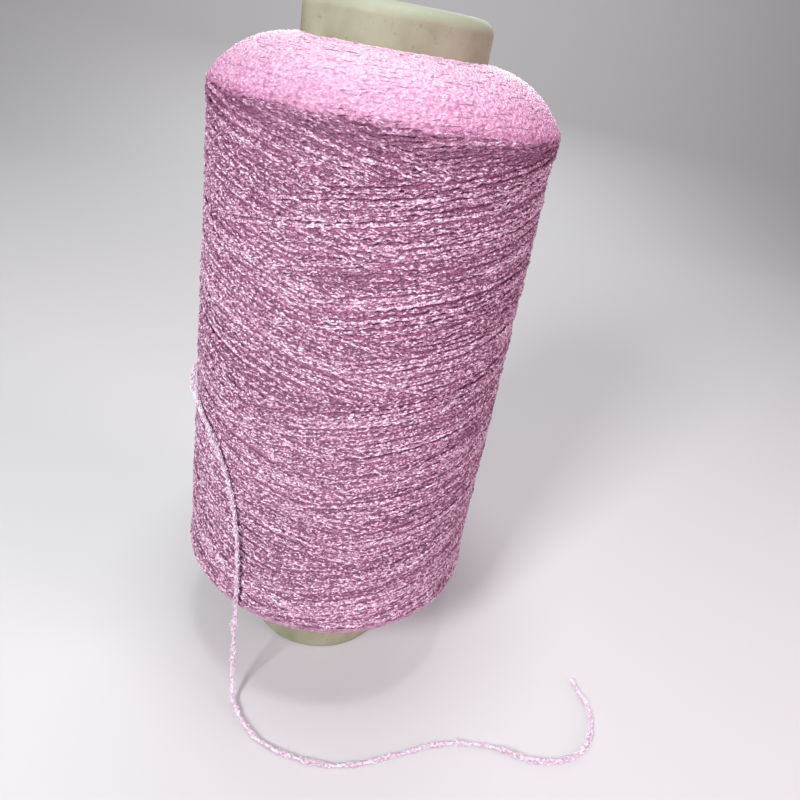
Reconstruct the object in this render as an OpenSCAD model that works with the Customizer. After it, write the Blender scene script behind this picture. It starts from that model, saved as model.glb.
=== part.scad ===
// A cylindrical, cross-wound yarn package on a rounded paper tube, with its
// loose yarn end. It stands on the tube's lower end.
// Origin: centre of the tube's lower end. +Z runs up along the tube.
// Millimetres.

/* [Paper tube] */
// Length of the tube
tube_len = 290; // [288:1:310]
// Outside diameter of the tube
tube_od = 69; // [69:0.5:72]
// Bore diameter of the tube
tube_id = 57; // [54:0.5:57]
// How far the rolled lip at the tube's upper end turns in
lip_w = 5.4; // [2:0.1:5.4]
// Height of the rolled lip
lip_h = 4.8; // [2:0.1:8]
// Radius of the inner edge at the tube's upper end
lip_in_r = 0.6; // [0.2:0.1:0.6]
// Radius of the outer edge at the tube's lower end
foot_edge_r = 2; // [0.5:0.1:2]
// Radius of the inner edge at the tube's lower end
foot_in_r = 1; // [0.5:0.1:1.5]

/* [Winding] */
// Height of bare tube below the winding
wind_start = 30; // [24:0.5:36]
// Length of the winding along the tube
wind_len = 246; // [225:1:250]
// Radius of the winding just under the upper shoulder
wind_r_top = 65.5; // [60:0.1:66]
// Radius of the winding just above the lower shoulder
wind_r_low = 68.2; // [60:0.1:68.4]
// Drop of the upper shoulder, from the tube out to the edge
shoulder_h = 19.3; // [10:0.1:28]
// Rise of the lower shoulder, from the tube out to the edge
under_h = 22.5; // [10:0.5:30]
// How full the shoulders are, where 1 is a straight cone
fullness = 2.15; // [1.2:0.05:3]
// How sharply the shoulders turn into the side, where 1 is a sharp edge
edge_turn = 1.25; // [1.05:0.05:2]
// How far the yarn stands proud at the shoulders' edges
ridge = 0.8; // [0:0.1:0.9]

/* [Yarn end] */
// Diameter of the loose, crimped yarn
yarn_d = 2.5; // [2:0.1:2.5]

/* [Hidden] */

tube_r = tube_od / 2;
bore_r = tube_id / 2;
wall = tube_r - bore_r;
wind_top = wind_start + wind_len;
edge_top = wind_top - shoulder_h;
edge_low = wind_start + under_h;

// Steps round each shoulder, and up the side between them
shoulder_steps = 14;
side_steps = 20;
// Width of the proud ridge at the shoulders' edges
ridge_w = 6;

// Route of the yarn's centreline: it peels off the winding at mid-height,
// hangs down its side, and runs out over the surface that the tube stands on.
route = [
    [-68.4, -7.1, 140], [-65.2, -22.2, 138], [-58.5, -36.3, 134], [-50.4, -47.2, 127],
    [-43.4, -53.9, 115], [-38.8, -57.6, 99], [-36.4, -59.5, 80], [-35.8, -60.7, 62],
    [-35.5, -61.4, 46], [-35.4, -61.8, 28], [-35, -62.8, 14], [-33.8, -66.8, 5],
    [-31, -74, 1.9], [-20, -87, 1.3], [-2, -95, 1.3], [20, -97, 1.3],
    [43, -90, 1.3], [65, -82, 1.3], [88, -81, 1.3], [110, -86, 1.3],
    [131, -80, 1.3], [142, -61, 1.3], [137, -38, 1.3]
];
// Rings from one route point to the next, and sides round the yarn
ring_steps = 3;
ring_sides = 8;

// ---- shoulder curve: a quarter of a superellipse, from the tube to the edge
function shoulder_t(a) = pow(sin(a), 2 / fullness);
function shoulder_drop(a) = 1 - pow(cos(a), 2 / edge_turn);

// ---- radius of the side at height z, with its two ridges
function bump(z, at) = ridge * exp(-pow((z - at) / ridge_w, 2));
function side_r(z) =
    wind_r_top + (wind_r_low - wind_r_top) * (edge_top - z) / (edge_top - edge_low)
    + bump(z, edge_top) + bump(z, edge_low);

function winding_section() = concat(
    [[tube_r, wind_top]],
    [for (i = [1 : shoulder_steps]) let (a = 90 * i / shoulder_steps)
        [tube_r + (side_r(edge_top) - tube_r) * shoulder_t(a),
         wind_top - shoulder_h * shoulder_drop(a)]],
    [for (i = [1 : side_steps - 1]) let (
        u = i / side_steps,
        z = edge_top + (edge_low - edge_top) * (0.5 - 0.5 * cos(180 * u)))
        [side_r(z), z]],
    [for (i = [0 : shoulder_steps - 1]) let (a = 90 * (shoulder_steps - i) / shoulder_steps)
        [tube_r + (side_r(edge_low) - tube_r) * shoulder_t(a),
         wind_start + under_h * shoulder_drop(a)]],
    [[tube_r, wind_start]]
);

// ---- smooth curve through the route's points
function clampi(i) = max(0, min(len(route) - 1, i));
function curve(i, t) = let (
    a = route[clampi(i - 1)], b = route[clampi(i)],
    c = route[clampi(i + 1)], d = route[clampi(i + 2)])
    0.5 * (2 * b + (c - a) * t + (2 * a - 5 * b + 4 * c - d) * t * t
        + (3 * b - a - 3 * c + d) * t * t * t);
function line_points() = concat(
    [for (i = [0 : len(route) - 2]) for (k = [0 : ring_steps - 1]) curve(i, k / ring_steps)],
    [route[len(route) - 1]]);
function unit(v) = v / norm(v);
function tangents(p) = [for (i = [0 : len(p) - 1])
    unit(p[min(len(p) - 1, i + 1)] - p[max(0, i - 1)])];
function square_to(u, t) = unit(u - (u * t) * t);

module sweep(p, r, sides) {
    t = tangents(p);
    n = len(p);
    side = [for (i = 0, u = square_to([1, 0, 0], t[0]); i < n;
        i = i + 1, u = i < n ? square_to(u, t[i]) : u) u];
    pts = [for (i = [0 : n - 1]) let (u = side[i], v = cross(t[i], u))
        for (k = [0 : sides - 1]) let (a = 360 * k / sides)
            p[i] + r * (cos(a) * u + sin(a) * v)];
    faces = concat(
        [[for (k = [0 : sides - 1]) k]],
        [for (i = [0 : n - 2]) for (k = [0 : sides - 1]) let (k2 = (k + 1) % sides)
            [i * sides + k, (i + 1) * sides + k, (i + 1) * sides + k2, i * sides + k2]],
        [[for (k = [sides - 1 : -1 : 0]) (n - 1) * sides + k]]);
    polyhedron(points = pts, faces = faces, convexity = 8);
}

// A rounded corner to take off a section: its point lies at the origin, and
// its arc runs from w along +X to h along +Y
module corner(w, h) {
    difference() {
        translate([-1, -1]) square([w + 1, h + 1]);
        translate([w, h]) scale([w, h]) circle(1, $fn = 64);
    }
}

module tube_section() {
    difference() {
        translate([bore_r, 0]) square([wall, tube_len]);
        translate([tube_r, tube_len]) mirror([1, 0]) mirror([0, 1]) corner(lip_w, lip_h);
        translate([bore_r, tube_len]) mirror([0, 1]) corner(lip_in_r, lip_in_r);
        translate([tube_r, 0]) mirror([1, 0]) corner(foot_edge_r, foot_edge_r);
        translate([bore_r, 0]) corner(foot_in_r, foot_in_r);
    }
}

// Spiral-wound paper tube with a rolled lip at its upper end
module paper_tube() {
    color([0.76, 0.73, 0.60])
        rotate_extrude($fn = 128) tube_section();
}

// The whole winding: every turn of yarn, wound solid on the tube
module yarn_winding() {
    color([0.78, 0.50, 0.67])
        rotate_extrude($fn = 160) polygon(winding_section());
}

// The loose end of the yarn
module yarn_end() {
    color([0.93, 0.82, 0.92])
        sweep(line_points(), yarn_d / 2, ring_sides);
}

paper_tube();
yarn_winding();
yarn_end();
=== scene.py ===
import math

import bpy
import numpy as np
from mathutils import Matrix, Vector


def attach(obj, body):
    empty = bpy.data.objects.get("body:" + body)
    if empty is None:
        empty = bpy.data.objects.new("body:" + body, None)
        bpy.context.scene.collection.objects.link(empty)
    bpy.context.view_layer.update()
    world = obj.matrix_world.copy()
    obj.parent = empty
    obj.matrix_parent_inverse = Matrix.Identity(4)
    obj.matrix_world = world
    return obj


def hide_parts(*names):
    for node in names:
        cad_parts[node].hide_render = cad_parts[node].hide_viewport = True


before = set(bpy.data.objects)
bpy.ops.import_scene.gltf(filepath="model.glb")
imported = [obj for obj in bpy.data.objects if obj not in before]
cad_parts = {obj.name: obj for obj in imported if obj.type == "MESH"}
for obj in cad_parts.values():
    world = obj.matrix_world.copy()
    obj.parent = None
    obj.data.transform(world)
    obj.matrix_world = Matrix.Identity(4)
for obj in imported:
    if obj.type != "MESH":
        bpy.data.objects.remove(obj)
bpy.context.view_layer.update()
scene = bpy.context.scene
rng = np.random.default_rng(7)

# ------------------------------------------------------------------ camera
CAM = np.array([0.0, -0.276494, 0.281306])
FWD = np.array([0.0793587, 0.8770930, -0.4737194])
RIGHT = np.array([0.9873072, -0.0035722, 0.1587823])
UP = np.array([-0.1375746, 0.4803073, 0.8662437])
cam_data = bpy.data.cameras.new("camera")
cam_data.sensor_width = 36.0
cam_data.lens = 670.67 * 36.0 / 800.0
cam_data.clip_start = 0.01
cam_data.clip_end = 30.0
cam = bpy.data.objects.new("camera", cam_data)
scene.collection.objects.link(cam)
cam.matrix_world = Matrix((
    (RIGHT[0], UP[0], -FWD[0], CAM[0]),
    (RIGHT[1], UP[1], -FWD[1], CAM[1]),
    (RIGHT[2], UP[2], -FWD[2], CAM[2]),
    (0, 0, 0, 1)))
scene.camera = cam

# --------------------------------------------------------------- mesh tools
MM = 0.001


def make_mesh(name, verts_mm, faces, uv=None, attrs=None, smooth=True, material=None):
    """A mesh from arrays: verts in mm (n,3), faces (m,4) or (m,3), uv per corner (m*k,2)."""
    faces = np.ascontiguousarray(faces, dtype=np.int32)
    k = faces.shape[1]
    me = bpy.data.meshes.new(name)
    me.vertices.add(len(verts_mm))
    me.vertices.foreach_set("co", (np.asarray(verts_mm, np.float32) * MM).ravel())
    me.loops.add(faces.size)
    me.loops.foreach_set("vertex_index", faces.ravel())
    me.polygons.add(len(faces))
    me.polygons.foreach_set("loop_start", np.arange(0, faces.size, k, dtype=np.int32))
    me.polygons.foreach_set("loop_total", np.full(len(faces), k, dtype=np.int32))
    if smooth:
        me.polygons.foreach_set("use_smooth", np.ones(len(faces), dtype=bool))
    if uv is not None:
        layer = me.uv_layers.new(name="OFBake")
        layer.data.foreach_set("uv", np.asarray(uv, np.float32).ravel())
    for key, val in (attrs or {}).items():
        val = np.asarray(val, np.float32)
        if val.ndim == 2:
            a = me.attributes.new(key, "FLOAT_VECTOR", "POINT")
            a.data.foreach_set("vector", val.ravel())
        else:
            a = me.attributes.new(key, "FLOAT", "POINT")
            a.data.foreach_set("value", val)
    me.update(calc_edges=True)
    me.validate()
    ob = bpy.data.objects.new(name, me)
    scene.collection.objects.link(ob)
    if material:
        me.materials.append(material)
    return ob


def smooth_noise(n, corr, size, gen):
    """Rows of smooth noise, (size, n), unit variance, that changes over corr samples."""
    m = int(n / corr) + 6
    g = gen.standard_normal((size, m))
    x = np.linspace(0, m - 4.001, n) + 1
    i = x.astype(int)
    t = x - i
    p0, p1, p2, p3 = g[:, i - 1], g[:, i], g[:, i + 1], g[:, i + 2]
    return 0.5 * (2 * p1 + (p2 - p0) * t + (2 * p0 - 5 * p1 + 4 * p2 - p3) * t ** 2
                  + (3 * p1 - p0 - 3 * p2 + p3) * t ** 3)


# --------------------------------------------------- the winding's outline
TUBE_R, BORE_R, TUBE_LEN = 34.5, 28.5, 290.0
WIND_START, WIND_LEN = 30.0, 246.0
R_TOP, R_LOW = 65.5, 68.2
SHOULDER_H, UNDER_H = 19.3, 22.5
FULL, TURN = 2.15, 1.25
RIDGE, RIDGE_W = 0.8, 6.0
WIND_TOP = WIND_START + WIND_LEN
EDGE_TOP = WIND_TOP - SHOULDER_H
EDGE_LOW = WIND_START + UNDER_H


def side_r(z):
    b = RIDGE * (np.exp(-((z - EDGE_TOP) / RIDGE_W) ** 2) + np.exp(-((z - EDGE_LOW) / RIDGE_W) ** 2))
    return R_TOP + (R_LOW - R_TOP) * (EDGE_TOP - z) / (EDGE_TOP - EDGE_LOW) + b


def outline():
    """The winding's outline from the lower tube line up to the upper one: (r, z)."""
    a = np.linspace(0, 90, 90)
    sa, ca = np.sin(np.radians(a)), np.cos(np.radians(a))
    t = sa ** (2 / FULL)
    d = 1 - np.maximum(ca, 0) ** (2 / TURN)
    low = np.stack([TUBE_R + (side_r(EDGE_LOW) - TUBE_R) * t, WIND_START + UNDER_H * d], 1)
    z = np.linspace(EDGE_LOW, EDGE_TOP, 240)[1:-1]
    mid = np.stack([side_r(z), z], 1)
    top = np.stack([TUBE_R + (side_r(EDGE_TOP) - TUBE_R) * t, WIND_TOP - SHOULDER_H * d], 1)[::-1]
    return np.concatenate([low, mid, top])


RZ = outline()
_seg = np.linalg.norm(np.diff(RZ, axis=0), axis=1)
ARC = np.concatenate([[0], np.cumsum(_seg)])
I_LOW = 89
I_TOP = len(RZ) - 90
V_LOW_EDGE, V_TOP_EDGE, V_END = ARC[I_LOW], ARC[I_TOP], ARC[-1]
# an even table along the outline, lightly smoothed so that the yarn rolls over the edges
VT = np.linspace(0, V_END, 2400)
RT = np.interp(VT, ARC, RZ[:, 0])
ZT = np.interp(VT, ARC, RZ[:, 1])


def blur(a, w):
    k = np.hanning(2 * w + 3)[1:-1]
    k /= k.sum()
    return np.convolve(np.pad(a, w, mode="reflect", reflect_type="odd"), k, mode="valid")


RT, ZT = blur(RT, 14), blur(ZT, 14)
_dr, _dz = np.gradient(RT), np.gradient(ZT)
_l = np.hypot(_dr, _dz)
NR, NZ = _dz / _l, -_dr / _l


def on_outline(v):
    return (np.interp(v, VT, RT), np.interp(v, VT, ZT), np.interp(v, VT, NR), np.interp(v, VT, NZ))


def surface(theta, v, h):
    """Points at height h over the winding's outline, and the outline's normals there."""
    r, z, nr, nz = on_outline(v)
    c, s = np.cos(theta), np.sin(theta)
    n = np.stack([nr * c, nr * s, nz], -1)
    p = np.stack([(r + nr * h) * c, (r + nr * h) * s, z + nz * h], -1)
    return p, n


# ------------------------------------------------------------ strand meshes
ACROSS = np.radians([-78.0, 0.0, 78.0])


def strands(p, n, s, lat, half_w, half_h, tone, even, across, drop, keep, gen):
    """Crimped strands on a surface.
    p, n: (k, m, 3) centre line and surface normal. s: (k, m) mm along the strand.
    lat: (k, m) sideways shift. half_w, half_h: (k, m) half width and height.
    tone: (k, m) and across: (k, 3), how light the yarn is along and across the strand: a random tone, plus painted
    shade (under the shoulder, on sunk turns, in the grooves at the flanks) and painted highlights on raised crimps
    and crests.
    even: (k, m) from 0 to 1, how much the painted glints and groove shade are flattened there, in the painted shade
    under the shoulder.
    drop: (k, 3) mm that each of the 3 points across lies lower.
    keep: (k, m) which rings show. Gives vertices, their attributes and the faces."""
    t = np.gradient(p, axis=1)
    t /= np.linalg.norm(t, axis=-1, keepdims=True)
    side = np.cross(n, t)
    side /= np.linalg.norm(side, axis=-1, keepdims=True)
    up = np.cross(t, side)
    p = p + side * lat[..., None]
    k, m = p.shape[:2]
    na = len(ACROSS)
    verts = np.empty((k, m, na, 3), np.float32)
    fib = np.empty((k, m, na, 3), np.float32)
    own = gen.uniform(0, 400, k)[:, None]
    for j, a in enumerate(ACROSS):
        verts[:, :, j] = (p + side * (np.sin(a) * half_w)[..., None]
                          + up * (np.cos(a) * half_h - drop[:, j:j + 1])[..., None])
        fib[:, :, j, 0] = s
        fib[:, :, j, 1] = np.sin(a) * half_w * 1.25
        fib[:, :, j, 2] = own
    fkeep = keep[:, :-1] & keep[:, 1:]
    ki, mi = np.nonzero(fkeep)
    base = (ki * m + mi) * na
    quads = []
    for j in range(na - 1):
        quads.append(np.stack([base + j, base + na + j, base + na + j + 1, base + j + 1], 1))
    even = np.repeat(even[:, :, None], na, 2)
    return verts, fib, np.stack(quads, 1), tone[:, :, None] + across[:, None, :] * (1 - 0.6 * even), even


def ends_in(keep):
    """From 0.12 at the ends of each kept run of rings up to 1, so that strands close there."""
    inner = keep.copy()
    size = np.where(keep, 0.12, 1.0)
    for value in (0.62, 1.0):
        inner = inner & np.pad(inner[:, 1:], ((0, 0), (0, 1))) & np.pad(inner[:, :-1], ((0, 0), (1, 0)))
        size[inner] = value
    return size


def pack_uv(nf, strips, mm_ring, mm_strip):
    """Rows of strips in the unit square: one column for each ring gap."""
    area = nf * mm_ring * (strips * mm_strip + 0.5)
    side_mm = math.sqrt(area) * 1.02
    per_row = max(1, int(side_mm / mm_ring))
    rows = int(math.ceil(nf / per_row))
    row_h = 1.0 / rows
    pad = 0.22 * row_h * 0.5 / (strips * mm_strip + 0.5) * mm_strip
    i = np.arange(nf)
    r, c = i // per_row, i % per_row
    u0, u1 = c / per_row, (c + 1) / per_row
    uv = np.empty((nf, strips, 4, 2))
    for j in range(strips):
        v0 = r * row_h + pad + (row_h - 2 * pad) * j / strips
        v1 = r * row_h + pad + (row_h - 2 * pad) * (j + 1) / strips
        uv[:, j, 0] = np.stack([u0, v0], 1)
        uv[:, j, 1] = np.stack([u1, v0], 1)
        uv[:, j, 2] = np.stack([u1, v1], 1)
        uv[:, j, 3] = np.stack([u0, v1], 1)
    return uv


def strand_piece(name, data, ring_mm, material):
    verts, fib, quads, tone, even = data
    faces = quads.reshape(-1, 4)
    used, inv = np.unique(faces, return_inverse=True)
    faces = inv.reshape(faces.shape)
    uv = pack_uv(len(quads), quads.shape[1], ring_mm, 0.8)
    verts = verts.reshape(-1, 3)[used]
    x, y, z = verts.T
    r = np.hypot(x, y)
    place = np.stack([50 * x / r, 50 * y / r, 0.75 * (z - r)], 1)
    return make_mesh(name, verts, faces, uv.reshape(-1, 2),
                     {"tone": tone.ravel()[used], "even": even.ravel()[used],
                      "fib": fib.reshape(-1, 3)[used], "place": place},
                     True, material)


# ---------------------------------------------------------------- materials
def new_material(name):
    m = bpy.data.materials.new(name)
    m.use_nodes = True
    nt = m.node_tree
    return m, nt, nt.nodes["Principled BSDF"]


def node(nt, kind, **props):
    n = nt.nodes.new(kind)
    for k, v in props.items():
        setattr(n, k, v)
    return n


def ramp(nt, stops):
    r = nt.nodes.new("ShaderNodeValToRGB")
    e = r.color_ramp.elements
    while len(e) < len(stops):
        e.new(0.5)
    for el, (pos, col) in zip(e, stops):
        el.position = pos
        el.color = (*col, 1.0)
    return r


def lin(r, g, b):
    """Picture colour, 0 to 255, as linear light."""
    out = []
    for c in (r, g, b):
        c /= 255.0
        out.append(c / 12.92 if c <= 0.04045 else ((c + 0.055) / 1.055) ** 2.4)
    return tuple(out)


def yarn_material(name, stops, contrast, middle, relief, rough, wrinkle=0.0):
    """Shiny crimped filaments. stops: colours from the grooves to the filaments' crests:
    painted shade in the grooves and painted glints on the crests, lighter where the bump stands higher.
    contrast, middle: how far the filaments' painted light and shade differ, and their mean place on the stops.
    relief: height of the filaments' pattern in mm. rough: grooves, crests.
    wrinkle: how much the crimped turns bunch into wrinkles that cross them; these are painted lighter on their
    raised middles and darker at their edges, as painted light and shade."""
    m, nt, bsdf = new_material(name)
    L = nt.links.new
    fib = node(nt, "ShaderNodeAttribute", attribute_name="fib")
    tone = node(nt, "ShaderNodeAttribute", attribute_name="tone")
    # filaments that run along the strand, in short crimped waves; their colour rises with their height, a painted
    # highlight on each crimp
    wave = node(nt, "ShaderNodeVectorMath", operation="MULTIPLY")
    L(fib.outputs["Vector"], wave.inputs[0])
    wave.inputs[1].default_value = (1.3, 1.4, 1.0)
    n1 = node(nt, "ShaderNodeTexNoise")
    n1.inputs["Distortion"].default_value = 0.5
    n1.inputs["Scale"].default_value = 1.0
    n1.inputs["Detail"].default_value = 2.0
    n1.inputs["Roughness"].default_value = 0.6
    L(wave.outputs[0], n1.inputs["Vector"])
    # crests of the crimps, which stand out as bright dots: raised in the bump and painted bright as painted glints
    crest = node(nt, "ShaderNodeVectorMath", operation="MULTIPLY")
    L(fib.outputs["Vector"], crest.inputs[0])
    crest.inputs[1].default_value = (0.66, 0.85, 1.0)
    n2 = node(nt, "ShaderNodeTexVoronoi")
    n2.inputs["Scale"].default_value = 1.0
    L(crest.outputs[0], n2.inputs["Vector"])
    dot = node(nt, "ShaderNodeMapRange")
    dot.inputs["From Min"].default_value = 0.60
    dot.inputs["From Max"].default_value = 0.15
    L(n2.outputs["Distance"], dot.inputs["Value"])
    # even flattens the painted light and shade where the painted shade band lies
    even = node(nt, "ShaderNodeAttribute", attribute_name="even")
    k = node(nt, "ShaderNodeMath", operation="MULTIPLY_ADD")
    L(even.outputs["Fac"], k.inputs[0])
    k.inputs[1].default_value = -contrast
    k.inputs[2].default_value = contrast
    mid = node(nt, "ShaderNodeMath", operation="SUBTRACT")
    both = node(nt, "ShaderNodeMath", operation="MULTIPLY_ADD")
    L(dot.outputs["Result"], both.inputs[0])
    both.inputs[1].default_value = 0.32
    L(n1.outputs["Fac"], both.inputs[2])
    L(both.outputs[0], mid.inputs[0])
    mid.inputs[1].default_value = 0.60
    a = node(nt, "ShaderNodeMath", operation="MULTIPLY_ADD")
    L(mid.outputs[0], a.inputs[0])
    L(k.outputs[0], a.inputs[1])
    a.inputs[2].default_value = middle
    b = node(nt, "ShaderNodeMath", operation="MULTIPLY_ADD", use_clamp=True)
    L(tone.outputs["Fac"], b.inputs[0])
    b.inputs[1].default_value = 1.0
    h = node(nt, "ShaderNodeMath", operation="MULTIPLY_ADD")
    L(dot.outputs["Result"], h.inputs[0])
    h.inputs[1].default_value = 0.45
    L(n1.outputs["Fac"], h.inputs[2])
    # wrinkles: painted lighter on their raised middles and darker at their edges, painted light and shade that
    # follows the bump
    if wrinkle:
        place = node(nt, "ShaderNodeAttribute", attribute_name="place")
        n3 = node(nt, "ShaderNodeTexVoronoi", feature="SMOOTH_F1")
        n3.inputs["Scale"].default_value = 0.90
        n3.inputs["Smoothness"].default_value = 0.5
        L(place.outputs["Vector"], n3.inputs["Vector"])
        w = node(nt, "ShaderNodeMath", operation="MULTIPLY_ADD")
        L(n3.outputs["Distance"], w.inputs[0])
        w.inputs[1].default_value = -wrinkle
        w.inputs[2].default_value = 0.42 * wrinkle
        aw = node(nt, "ShaderNodeMath", operation="ADD")
        L(a.outputs[0], aw.inputs[0])
        L(w.outputs[0], aw.inputs[1])
        L(aw.outputs[0], b.inputs[2])
        hw = node(nt, "ShaderNodeMath", operation="MULTIPLY_ADD")
        L(w.outputs[0], hw.inputs[0])
        hw.inputs[1].default_value = 2.80
        L(h.outputs[0], hw.inputs[2])
        h = hw
    else:
        L(a.outputs[0], b.inputs[2])
    col = ramp(nt, stops)
    L(b.outputs[0], col.inputs["Fac"])
    L(col.outputs["Color"], bsdf.inputs["Base Color"])
    ro = node(nt, "ShaderNodeMapRange")
    ro.inputs["To Min"].default_value = rough[0]
    ro.inputs["To Max"].default_value = rough[1]
    L(b.outputs[0], ro.inputs["Value"])
    L(ro.outputs["Result"], bsdf.inputs["Roughness"])
    bump = node(nt, "ShaderNodeBump")
    bump.inputs["Strength"].default_value = 1.0
    bump.inputs["Distance"].default_value = relief * MM
    L(h.outputs[0], bump.inputs["Height"])
    L(bump.outputs["Normal"], bsdf.inputs["Normal"])
    bsdf.inputs["IOR"].default_value = 1.47
    bsdf.inputs["Specular IOR Level"].default_value = 1.0
    # filaments shine in a line across the strand
    bsdf.inputs["Anisotropic"].default_value = 0.9
    bsdf.inputs["Anisotropic Rotation"].default_value = 0.25
    tang = node(nt, "ShaderNodeTangent", direction_type="UV_MAP", uv_map="OFBake")
    L(tang.outputs["Tangent"], bsdf.inputs["Tangent"])
    return m


def base_material():
    """The layers of yarn below the outer turns. Their colour is painted: dark as painted shade along the side,
    where they show deep in the gaps; paler on the shoulders as painted light; lighter where the bump stands higher.
    """
    m, nt, bsdf = new_material("pink_yarn_below")
    L = nt.links.new
    fib = node(nt, "ShaderNodeAttribute", attribute_name="fib")
    n1 = node(nt, "ShaderNodeTexNoise")
    n1.inputs["Scale"].default_value = 1.0
    n1.inputs["Detail"].default_value = 3.0
    n1.inputs["Distortion"].default_value = 0.6
    L(fib.outputs["Vector"], n1.inputs["Vector"])
    # painted shade: the dark colour of the base deep in the gaps along the side
    dark = ramp(nt, [(0.32, lin(116, 52, 88)), (0.5, lin(156, 88, 128)), (0.68, lin(206, 140, 178))])
    L(n1.outputs["Fac"], dark.inputs["Fac"])
    # painted light: the paler colour of the base on the shoulders
    pale = ramp(nt, [(0.3, lin(180, 126, 160)), (0.5, lin(198, 150, 182)), (0.75, lin(214, 172, 200))])
    L(n1.outputs["Fac"], pale.inputs["Fac"])
    light = node(nt, "ShaderNodeAttribute", attribute_name="light")
    mix = node(nt, "ShaderNodeMix", data_type="RGBA")
    L(light.outputs["Fac"], mix.inputs[0])
    L(dark.outputs["Color"], mix.inputs[6])
    L(pale.outputs["Color"], mix.inputs[7])
    L(mix.outputs[2], bsdf.inputs["Base Color"])
    bump = node(nt, "ShaderNodeBump")
    bump.inputs["Strength"].default_value = 1.0
    bump.inputs["Distance"].default_value = 0.0012
    L(n1.outputs["Fac"], bump.inputs["Height"])
    L(bump.outputs["Normal"], bsdf.inputs["Normal"])
    ro = node(nt, "ShaderNodeMapRange")
    ro.inputs["To Min"].default_value = 0.55
    ro.inputs["To Max"].default_value = 0.35
    L(n1.outputs["Fac"], ro.inputs["Value"])
    L(ro.outputs["Result"], bsdf.inputs["Roughness"])
    bsdf.inputs["Sheen Weight"].default_value = 0.2
    return m


def paper_material():
    m, nt, bsdf = new_material("burnished_paper")
    L = nt.links.new
    tc = node(nt, "ShaderNodeTexCoord")
    soft = node(nt, "ShaderNodeTexNoise")
    soft.inputs["Scale"].default_value = 60.0
    soft.inputs["Detail"].default_value = 5.0
    soft.inputs["Roughness"].default_value = 0.6
    L(tc.outputs["Object"], soft.inputs["Vector"])
    col = ramp(nt, [(0.3, lin(126, 124, 100)), (0.5, lin(139, 138, 115)), (0.7, lin(150, 150, 127))])
    L(soft.outputs["Fac"], col.inputs["Fac"])
    wear = node(nt, "ShaderNodeAttribute", attribute_name="wear")
    lip = node(nt, "ShaderNodeMix", data_type="RGBA")
    L(wear.outputs["Fac"], lip.inputs[0])
    L(col.outputs["Color"], lip.inputs[6])
    lip.inputs[7].default_value = (*lin(134, 140, 120), 1)
    specks = node(nt, "ShaderNodeTexNoise")
    specks.inputs["Scale"].default_value = 420.0
    specks.inputs["Detail"].default_value = 3.0
    specks.inputs["Roughness"].default_value = 0.65
    L(tc.outputs["Object"], specks.inputs["Vector"])
    sp = ramp(nt, [(0.62, (0, 0, 0)), (0.74, (1, 1, 1))])
    L(specks.outputs["Fac"], sp.inputs["Fac"])
    dirt = node(nt, "ShaderNodeMix", data_type="RGBA")
    k = node(nt, "ShaderNodeMath", operation="MULTIPLY")
    L(sp.outputs["Color"], k.inputs[0])
    k.inputs[1].default_value = 0.45
    L(k.outputs[0], dirt.inputs[0])
    L(lip.outputs[2], dirt.inputs[6])
    dirt.inputs[7].default_value = (*lin(96, 86, 62), 1)
    L(dirt.outputs[2], bsdf.inputs["Base Color"])
    fib = node(nt, "ShaderNodeTexNoise")
    fib.inputs["Scale"].default_value = 1500.0
    fib.inputs["Detail"].default_value = 3.0
    L(tc.outputs["Object"], fib.inputs["Vector"])
    bump = node(nt, "ShaderNodeBump")
    bump.inputs["Strength"].default_value = 0.35
    bump.inputs["Distance"].default_value = 0.0001
    L(fib.outputs["Fac"], bump.inputs["Height"])
    L(bump.outputs["Normal"], bsdf.inputs["Normal"])
    ro = node(nt, "ShaderNodeMapRange")
    ro.inputs["To Min"].default_value = 0.5
    ro.inputs["To Max"].default_value = 0.7
    L(soft.outputs["Fac"], ro.inputs["Value"])
    L(ro.outputs["Result"], bsdf.inputs["Roughness"])
    return m


def loose_material():
    m, nt, bsdf = new_material("loose_yarn")
    L = nt.links.new
    tc = node(nt, "ShaderNodeTexCoord")
    n1 = node(nt, "ShaderNodeTexNoise")
    n1.inputs["Scale"].default_value = 800.0
    n1.inputs["Detail"].default_value = 2.0
    L(tc.outputs["Object"], n1.inputs["Vector"])
    # from the yarn's pale lilac-pink to near-white spots, painted glints on the filaments
    col = ramp(nt, [(0.36, lin(206, 158, 194)), (0.5, lin(240, 216, 238)), (0.62, lin(255, 250, 255))])
    L(n1.outputs["Fac"], col.inputs["Fac"])
    L(col.outputs["Color"], bsdf.inputs["Base Color"])
    ro = node(nt, "ShaderNodeMapRange")
    ro.inputs["To Min"].default_value = 0.45
    ro.inputs["To Max"].default_value = 0.25
    L(n1.outputs["Fac"], ro.inputs["Value"])
    L(ro.outputs["Result"], bsdf.inputs["Roughness"])
    bsdf.inputs["Sheen Weight"].default_value = 0.3
    return m


# Both ramps run from painted shade in the grooves, through the yarn's own pink, to painted glints on the crests.
YARN_RAMP = [(0.0, lin(110, 50, 88)), (0.3, lin(161, 102, 138)), (0.55, lin(211, 161, 192)),
             (0.8, lin(247, 208, 233)), (1.0, lin(255, 236, 250))]
YARN = yarn_material("pink_yarn", YARN_RAMP, 2.3, 0.43, 1.1, (0.52, 0.24))
CALM = yarn_material("pink_yarn_shoulder", [(0.0, lin(132, 66, 104)), (0.35, lin(180, 120, 156)),
                                            (0.65, lin(206, 158, 188)), (1.0, lin(234, 204, 222))],
                     0.35, 0.46, 0.6, (0.50, 0.30), 0.48)
BELOW = base_material()
PAPER = paper_material()
LOOSE = loose_material()

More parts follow.
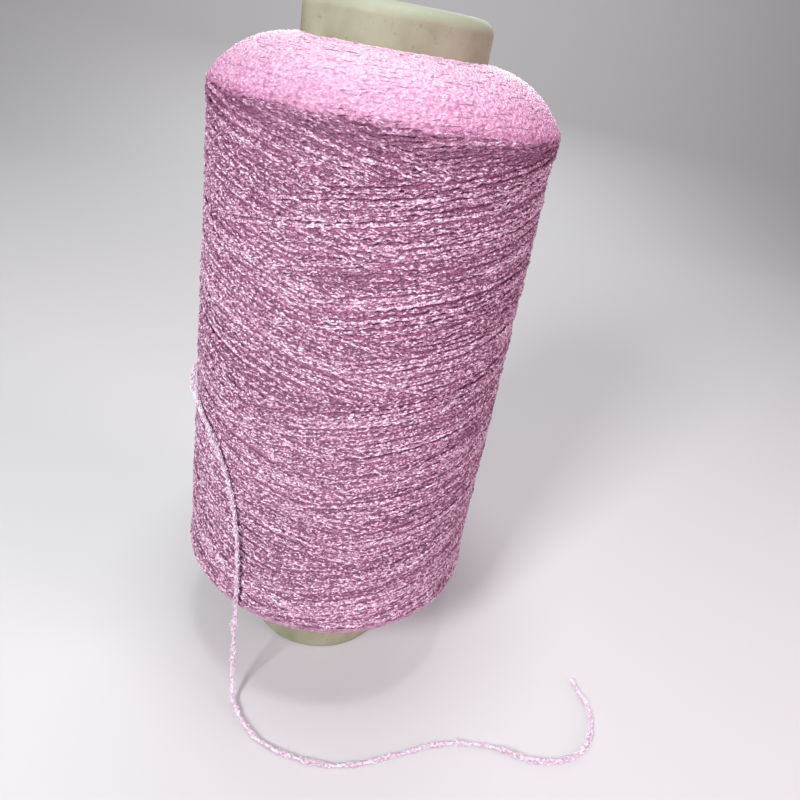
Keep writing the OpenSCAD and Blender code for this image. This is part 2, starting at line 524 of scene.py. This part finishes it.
# -------------------------------------------------- the yarn under the turns
def lathe(name, r, z, segments, material, attrs=None, wobble=None):
    a = np.linspace(0, 2 * np.pi, segments, endpoint=False)
    rr = r[:, None] + (wobble if wobble is not None else 0)
    v = np.stack([rr * np.cos(a), rr * np.sin(a), np.repeat(z[:, None], segments, 1)], -1)
    n = len(r)
    i, j = np.meshgrid(np.arange(n - 1), np.arange(segments), indexing="ij")
    j2 = (j + 1) % segments
    f = np.stack([i * segments + j, i * segments + j2, (i + 1) * segments + j2, (i + 1) * segments + j], -1)
    at = {k: np.repeat(x, segments) for k, x in (attrs or {}).items()}
    return make_mesh(name, v.reshape(-1, 3), f.reshape(-1, 4), None, at, True, material)


vb = np.concatenate([np.linspace(0.6, V_LOW_EDGE, 20)[:-1], np.linspace(V_LOW_EDGE, V_TOP_EDGE, 72)[:-1],
                     np.linspace(V_TOP_EDGE, V_END - 0.6, 20)])
rb, zb, nrb, nzb = on_outline(vb)
sunk = np.interp(vb, [V_LOW_EDGE - 3, V_LOW_EDGE + 2, V_TOP_EDGE - 2, V_TOP_EDGE + 3], [0.26, 1.05, 1.05, 0.26])
rb, zb = rb - nrb * sunk, zb - nzb * sunk
rb = np.concatenate([[TUBE_R + 0.02], rb, [TUBE_R + 0.02]])
zb = np.concatenate([[zb[0]], zb, [zb[-1]]])
# mask from the painted gap shade (0, along the side) to the paler painted light (1, on the shoulders)
light = np.interp(zb, [EDGE_LOW - 5, EDGE_LOW - 1, EDGE_TOP + 1, EDGE_TOP + 5], [1, 0, 0, 1])
SEGS = 180
winding = lathe("yarn_winding_body", rb, zb, SEGS, BELOW, {"light": light})
th = np.linspace(0, 2 * np.pi, SEGS, endpoint=False)
across_b = np.concatenate([[vb[0]], vb, [vb[-1]]])
fib = np.stack(np.broadcast_arrays(60 * np.cos(th)[None, :], 60 * np.sin(th)[None, :], across_b[:, None] * 1.9), -1)
at = winding.data.attributes.new("fib", "FLOAT_VECTOR", "POINT")
at.data.foreach_set("vector", fib.astype(np.float32).ravel())
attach(winding, "root")
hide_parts("yarn_winding")

# ------------------------------------------------- the turns round the side
ALPHA = math.radians(10.5)
SLOPE = math.tan(ALPHA)
R0 = 66.8
RING = 0.74
N_LEGS = 42
BUNDLES = 2
TURN_DEPTH = 3.2
V_MID = (V_LOW_EDGE + V_TOP_EDGE) / 2
gen = np.random.default_rng(11)


def correlated(n, gen, parts):
    """Cyclic noise over n neighbours: a sum of (strength, width in neighbours)."""
    out = np.zeros(n)
    for s, w in parts:
        g = gen.standard_normal(n)
        if w > 0.3:
            x = np.minimum(np.arange(n), n - np.arange(n))
            k = np.exp(-0.5 * (x / w) ** 2)
            g = np.real(np.fft.ifft(np.fft.fft(g) * np.fft.fft(k)))
        out += s * g / g.std()
    return out


def offsets(n, gen, jitter):
    w = 1 + jitter * gen.uniform(-1, 1, n)
    w = np.cumsum(w)
    return w / w[-1] * 2 * np.pi


FAM = {}
for fam in (1, -1):
    FAM[fam] = dict(
        theta=offsets(N_LEGS, gen, 0.20),
        rank=correlated(N_LEGS, gen, [(0.35, 1.1), (0.50, 0)]),
    )


def rank_at(fam, theta0):
    """The rank of the leg of this family that crosses mid-side at theta0."""
    th, rk = FAM[fam]["theta"], FAM[fam]["rank"]
    x = np.concatenate([th[-3:] - 2 * np.pi, th, th[:3] + 2 * np.pi])
    y = np.concatenate([rk[-3:], rk, rk[:3]])
    # steps between neighbours, softened
    t = np.mod(theta0, 2 * np.pi)
    i = np.clip(np.searchsorted(x, t) - 1, 0, len(x) - 2)
    u = (t - x[i]) / (x[i + 1] - x[i])
    u = np.clip((u - 0.5) / 0.45 + 0.5, 0, 1)
    u = u * u * (3 - 2 * u)
    return y[i] * (1 - u) + y[i + 1] * u


def leg_paths(fam):
    g = np.random.default_rng(100 + fam)
    f = FAM[fam]
    half = (V_TOP_EDGE - V_LOW_EDGE) / 2
    vt = half + g.uniform(-2.5, 3.5, N_LEGS)
    vb_ = half + g.uniform(-2.5, 3.5, N_LEGS)
    past = 9.0
    s_max = (half + 3.5 - TURN_DEPTH) / SLOPE + 2 * TURN_DEPTH / SLOPE + past
    s_all = np.arange(-s_max, s_max, RING)
    s = np.broadcast_to(s_all, (N_LEGS, len(s_all)))
    top = s > 0
    vmax = np.where(top, vt[:, None], vb_[:, None])
    s1 = (vmax - TURN_DEPTH) / SLOPE
    sa = s1 + 2 * TURN_DEPTH / SLOPE
    a = np.abs(s)
    v = np.where(a <= s1, SLOPE * a, vmax - SLOPE ** 2 / (4 * TURN_DEPTH) * (sa - a) ** 2)
    v = V_MID + np.where(top, v, -v)
    theta = f["theta"][:, None] + fam * s / R0
    inside = a < sa + past
    over = np.clip((a - sa) / past, 0, 1)  # how far past its turning point
    # which leg of the other family crosses here
    vv = v - V_MID
    theta_other = theta + fam * vv / (R0 * SLOPE)
    n = s.shape[1]
    drift = smooth_noise(n, 90, N_LEGS, g) * 0.25
    # the last layers put one family on top on one half, the other on the other half
    sector = fam * 3.3 * np.sin(theta + math.radians(90 + 4))
    d = f["rank"][:, None] + drift - rank_at(-fam, theta_other) + sector
    return g, s, v, theta, inside, over, d


def painted_shade_band(v):
    """1 just under the upper edge, where the yarn turns in under the shoulder: the mask of a painted shade band
    there.
    """
    z = np.interp(v, VT, ZT)
    return np.exp(-((z - 254.2) / 5.2) ** 2)


def build_family(fam, pieces, material):
    g, s, v, theta, inside, over, d = leg_paths(fam)
    m = N_LEGS * BUNDLES
    sink1 = 1 / (1 + np.exp(d * 6.0))
    n = s.shape[1]
    proud = correlated(N_LEGS, g, [(0.18, 0), (0.12, 1.2)])[:, None]
    h1 = -0.58 - 0.62 * sink1 - 1.0 * over ** 2 + proud + 0.10 * smooth_noise(n, 12, N_LEGS, g)
    lat1 = 0.12 * smooth_noise(n, 10, N_LEGS, g) + 0.22 * smooth_noise(n, 45, N_LEGS, g)
    # a random tone per leg, with a painted shade band that darkens the turns just under the upper edge
    tone1 = 0.08 * smooth_noise(n, 60, N_LEGS, g) + g.normal(0, 0.07, N_LEGS)[:, None] - 0.25 * painted_shade_band(v)

    def rep(a):
        return np.repeat(a, BUNDLES, axis=0)

    s, v, theta, inside, over, d = map(rep, (s, v, theta, inside, over, d))
    place = np.tile(np.linspace(-0.37, 0.37, BUNDLES), N_LEGS)[:, None]
    crimp = smooth_noise(n, 2.0, m, g)
    sway = smooth_noise(n, 2.1, m, g)
    h = rep(h1) + 0.15 * crimp + 0.10 * smooth_noise(n, 7, m, g)
    lump = np.clip(1 + 0.16 * smooth_noise(n, 2.4, m, g), 0.6, 1.4)
    keep = inside & (d > -0.48)
    keep[:, 1:] |= keep[:, :-1] & inside[:, 1:]
    keep[:, :-1] |= keep[:, 1:] & inside[:, :-1]
    full = ends_in(keep)
    lump = lump * full
    p, nrm = surface(theta, v, h - 0.30 * (1 - full))
    lat = rep(lat1) + place * (1.0 + 0.25 * smooth_noise(n, 8, m, g)) + 0.20 * sway
    # painted shade on turns that sink under the other family, painted highlight where the crimps rise
    tone = rep(tone1) - 0.14 * rep(sink1) + 0.08 * crimp
    # grooves: the outer flank of each bundle lies in the gap to the next turn; it lies lower there (drop), and its
    # colour is darkened as painted shade, with a lighter painted crest in the middle (across)
    across = np.tile([[-0.42, 0.14, -0.08], [-0.08, 0.14, -0.42]], (N_LEGS, 1))
    drop = np.tile([[0.24, 0.0, 0.0], [0.0, 0.0, 0.24]], (N_LEGS, 1))
    out = []
    for q in range(pieces):
        sel = np.arange(q, m, pieces)
        # the painted shade band also flattens the painted glints and groove shade there (even)
        data = strands(p[sel], nrm[sel], s[sel], lat[sel], 0.51 * lump[sel], 0.53 * lump[sel],
                       tone[sel], 0.45 * painted_shade_band(v[sel]), across[sel], drop[sel], keep[sel], g)
        ob = strand_piece("side_turns_%s_%d" % ("up" if fam > 0 else "down", q + 1), data, RING, material)
        out.append(ob)
    return out


# ------------------------------------- the turning points over the shoulders
def build_shoulder(name, v_edge, v_tube, seed, ring, material):
    """Rows of short arcs, where each layer of yarn turned back."""
    g = np.random.default_rng(seed)
    toward = 1 if v_tube > v_edge else -1
    span = abs(v_tube - v_edge)
    rows = np.arange(1.2, span - 0.2, 0.80)
    th, va, order = [], [], []
    for k, dv in enumerate(rows):
        r, _, _, _ = on_outline(v_edge + toward * dv)
        cnt = int(round(2 * np.pi * r / 8.0))
        a0 = g.uniform(0, 2 * np.pi)
        th.append(a0 + (np.arange(cnt) + g.uniform(-0.36, 0.36, cnt)) / cnt * 2 * np.pi)
        va.append(dv + g.normal(0, 0.25, cnt))
        order.append(np.full(cnt, k / len(rows)))
    th, va, order = map(np.concatenate, (th, va, order))
    va = np.clip(va, 0.8, span - 0.35)
    cnt = len(th)
    half = 6.6
    s0 = np.arange(-half, half + 0.01, ring)
    s = np.broadcast_to(s0, (cnt, len(s0)))
    r, _, _, _ = on_outline(v_edge + toward * va)
    lean = g.normal(0, 0.12, cnt)[:, None]
    bow = g.uniform(20, 42, cnt)[:, None]
    depth = va[:, None] - s ** 2 / (2 * bow) + lean * s
    depth = np.minimum(depth, span - 0.3)
    v = v_edge + toward * depth
    theta = th[:, None] + s / r[:, None]
    n = len(s0)
    e = np.abs(s) / half
    near_tube = np.clip((depth - (span - 6)) / 6, 0, 1)
    crimp = smooth_noise(n, 1.8, cnt, g)
    h = (-0.19 - 0.26 * np.clip(e - 0.4, 0, 1) ** 1.6 + g.normal(0, 0.04, cnt)[:, None]
         + 0.02 * crimp + 0.5 * near_tube)
    keep = np.ones(s.shape, bool)
    full = ends_in(keep)
    p, nrm = surface(theta, v, h - 0.12 * (1 - full))
    lat = 0.14 * smooth_noise(n, 1.9, cnt, g)
    lump = np.clip(1 + 0.22 * smooth_noise(n, 1.8, cnt, g), 0.6, 1.5) * full
    w = g.uniform(0.52, 0.68, cnt)[:, None]
    streak = np.interp(depth, np.arange(0, 60, 1.3), g.normal(0, 0.03, 47))
    # a random tone and streaks, plus painted light and shade: darker at the dipping ends of each arc and just past
    # the edge, lighter further in toward the tube, darker in the painted shade band, and a small painted highlight
    # on raised crimps and crests
    tone = (g.normal(0, 0.015, cnt)[:, None] - 0.04 * e ** 2 + 0.04 * crimp + streak
            + 0.10 * np.clip((depth - 0.6) / 3.0, 0, 1) + 0.20 * np.clip((depth - 7) / 16, 0, 1)
            - 0.25 * painted_shade_band(v))
    across = np.tile([[-0.04, 0.02, -0.04]], (cnt, 1))
    rise = np.clip(0.22 * lump + 0.09 * crimp * full, 0.03, 0.8)
    data = strands(p, nrm, s, lat, w * lump, rise, tone, np.zeros(s.shape), across,
                   np.zeros((cnt, 3)), keep, g)
    return strand_piece(name, data, ring, material)


turns = build_family(1, 3, YARN) + build_family(-1, 3, YARN)
turns.append(build_shoulder("upper_shoulder_turns", V_TOP_EDGE, V_END, 31, 0.80, CALM))
turns.append(build_shoulder("lower_shoulder_turns", V_LOW_EDGE, 0.0, 32, 1.2, CALM))
for ob in turns:
    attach(ob, "root")

# ------------------------------------------------------------ the paper tube
def tube_outline():
    lip_w, lip_h, lip_in, foot, foot_in = 5.4, 4.8, 0.6, 2.0, 1.0
    pts = []

    def arc(cx, cz, rx, rz, a0, a1, n):
        for t in np.linspace(math.radians(a0), math.radians(a1), n):
            pts.append((cx + rx * math.cos(t), cz + rz * math.sin(t)))

    for z in np.linspace(TUBE_LEN - lip_in, foot_in, 24):
        pts.append((BORE_R, z))
    arc(BORE_R + foot_in, foot_in, foot_in, foot_in, 180, 270, 6)
    arc(TUBE_R - foot, foot, foot, foot, 270, 360, 9)
    for z in np.linspace(foot + 1, TUBE_LEN - lip_h - 1, 24):
        pts.append((TUBE_R, z))
    arc(TUBE_R - lip_w, TUBE_LEN - lip_h, lip_w, lip_h, 0, 90, 20)
    arc(BORE_R + lip_in, TUBE_LEN - lip_in, lip_in, lip_in, 90, 180, 6)
    return np.array(pts)


TP = tube_outline()
wear = np.clip((TP[:, 1] - (TUBE_LEN - 4.6)) / 3.0, 0, 1) * (TP[:, 0] > BORE_R + 0.3)
tube = lathe("paper_tube_body", TP[:, 0], TP[:, 1], 144, PAPER, {"wear": wear})
tube.data.flip_normals()
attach(tube, "root")
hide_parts("paper_tube")

# ------------------------------------------------------------- the yarn end
ROUTE = np.array([
    [-68.4, -7.1, 140], [-65.2, -22.2, 138], [-58.5, -36.3, 134], [-50.4, -47.2, 127],
    [-43.4, -53.9, 115], [-38.8, -57.6, 99], [-36.4, -59.5, 80], [-35.8, -60.7, 62],
    [-35.5, -61.4, 46], [-35.4, -61.8, 28], [-35, -62.8, 14], [-33.8, -66.8, 5],
    [-31, -74, 1.9], [-20, -87, 1.3], [-2, -95, 1.3], [20, -97, 1.3],
    [43, -90, 1.3], [65, -82, 1.3], [88, -81, 1.3], [110, -86, 1.3],
    [131, -80, 1.3], [142, -61, 1.3], [137, -38, 1.3]])


def through(points, k):
    P = np.asarray(points, float)
    n = len(P)
    g = lambda i: P[max(0, min(n - 1, i))]
    out = []
    for i in range(n - 1):
        a, b, c, d = g(i - 1), g(i), g(i + 1), g(i + 2)
        for j in range(k):
            t = j / k
            out.append(0.5 * (2 * b + (c - a) * t + (2 * a - 5 * b + 4 * c - d) * t * t
                              + (3 * b - a - 3 * c + d) * t ** 3))
    out.append(P[-1])
    return np.array(out)


def evenly(p, step):
    d = np.concatenate([[0], np.cumsum(np.linalg.norm(np.diff(p, axis=0), axis=1))])
    x = np.linspace(0, d[-1], int(d[-1] / step) + 1)
    return np.stack([np.interp(x, d, p[:, i]) for i in range(3)], 1), x


def frames(p):
    t = np.gradient(p, axis=0)
    t /= np.linalg.norm(t, axis=1, keepdims=True)
    u = np.empty_like(p)
    a = np.array([1.0, 0, 0])
    for i in range(len(p)):
        a = a - t[i] * (a @ t[i])
        a /= np.linalg.norm(a)
        u[i] = a
    return t, u, np.cross(t, u)


line, along = evenly(through(ROUTE, 16), 0.40)
_, fu, fv = frames(line)
g = np.random.default_rng(5)
n = len(line)
FILS = 11
SIDES = 3
verts, faces, count = [], [], 0
bunch = smooth_noise(n, 15, 1, g)[0]
for k in range(FILS):
    # each filament wanders through the yarn, and is crimped in small waves and curls
    ang = 2 * np.pi * k / FILS + along * 2 * np.pi / 14.0 + 0.9 * smooth_noise(n, 16, 1, g)[0]
    rad = np.clip(0.50 + 0.28 * smooth_noise(n, 12, 1, g)[0] + 0.20 * bunch, 0.03, 1.05)
    curl = np.cumsum(2 * np.pi * 0.40 / (2.9 + 0.8 * np.tanh(smooth_noise(n, 12, 1, g)[0]))) + g.uniform(0, 6.3)
    size = 0.40 + 0.12 * np.tanh(bunch) + 0.60 * np.clip(smooth_noise(n, 8, 1, g)[0] - 0.6, 0, 1.2)
    flip = np.tanh(3 * smooth_noise(n, 20, 1, g)[0])
    x = rad * np.cos(ang) + size * np.cos(curl)
    y = rad * np.sin(ang) + size * np.sin(curl) * flip
    c = line + fu * x[:, None] + fv * y[:, None]
    c[:, 2] = np.maximum(c[:, 2], 0.2)
    t, a, b = frames(c)
    rr = 0.14 + 0.02 * smooth_noise(n, 12, 1, g)[0]
    ring = [c + a * (rr * math.cos(q))[:, None] + b * (rr * math.sin(q))[:, None]
            for q in np.linspace(0, 2 * np.pi, SIDES, endpoint=False)]
    v = np.stack(ring, 1).reshape(-1, 3)
    i, j = np.meshgrid(np.arange(n - 1), np.arange(SIDES), indexing="ij")
    j2 = (j + 1) % SIDES
    f = np.stack([i * SIDES + j, (i + 1) * SIDES + j, (i + 1) * SIDES + j2, i * SIDES + j2], -1).reshape(-1, 4)
    verts.append(v)
    faces.append(f + count)
    count += len(v)
yarn_end = make_mesh("yarn_end_loose", np.concatenate(verts), np.concatenate(faces), None, None, True, LOOSE)
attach(yarn_end, "root")
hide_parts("yarn_end")

# ------------------------------------------------------------ floor and light
def plane_stage():
    n = 40
    y = [-2.0, 1.2]
    prof = [(-2.0, 0.0), (1.0, 0.0)]
    for t in np.linspace(0, math.pi / 2, 16):
        prof.append((1.0 + 0.8 * math.sin(t), 0.8 - 0.8 * math.cos(t)))
    prof.append((1.8, 3.0))
    prof = np.array(prof)
    xs = np.array([-3.0, 3.0])
    v = np.array([[x, p[0], p[1]] for p in prof for x in xs]) / MM
    f = np.array([[2 * i, 2 * i + 1, 2 * i + 3, 2 * i + 2] for i in range(len(prof) - 1)])
    m, nt, bsdf = new_material("pale_floor")
    bsdf.inputs["Base Color"].default_value = (0.50, 0.50, 0.51, 1)
    bsdf.inputs["Roughness"].default_value = 0.85
    return make_mesh("floor", v, f, None, None, True, m)


floor = plane_stage()


def area(name, loc, target, size, power, color=(1, 1, 1)):
    d = bpy.data.lights.new(name, "AREA")
    d.shape = "RECTANGLE"
    d.size, d.size_y = size
    d.energy = power
    d.color = color
    o = bpy.data.objects.new(name, d)
    scene.collection.objects.link(o)
    o.location = loc
    o.rotation_mode = "QUATERNION"
    o.rotation_quaternion = (Vector(target) - Vector(loc)).to_track_quat("-Z", "Y")
    return o


area("overhead", (-0.03, -0.05, 0.95), (0, 0, 0.2), (0.22, 0.22), 4.5)
area("front", (-0.60, -0.92, 0.77), (0, 0, 0.16), (0.30, 0.30), 20.0)
area("right", (1.0, -0.40, 0.45), (0, 0, 0.15), (0.4, 0.8), 9.2, (1.0, 0.75, 0.85))
area("behind", (0.10, 1.30, 0.70), (0, 0.0, 0.2), (1.0, 0.5), 6.0)
area("backdrop", (0.0, 1.10, 1.60), (0, 1.75, 0.45), (1.6, 0.4), 9.0)
world = bpy.data.worlds.new("world")
world.use_nodes = True
world.node_tree.nodes["Background"].inputs["Color"].default_value = (0.92, 0.94, 1.0, 1)
world.node_tree.nodes["Background"].inputs["Strength"].default_value = 0.12
scene.world = world
scene.view_settings.view_transform = "Standard"
scene.view_settings.look = "None"
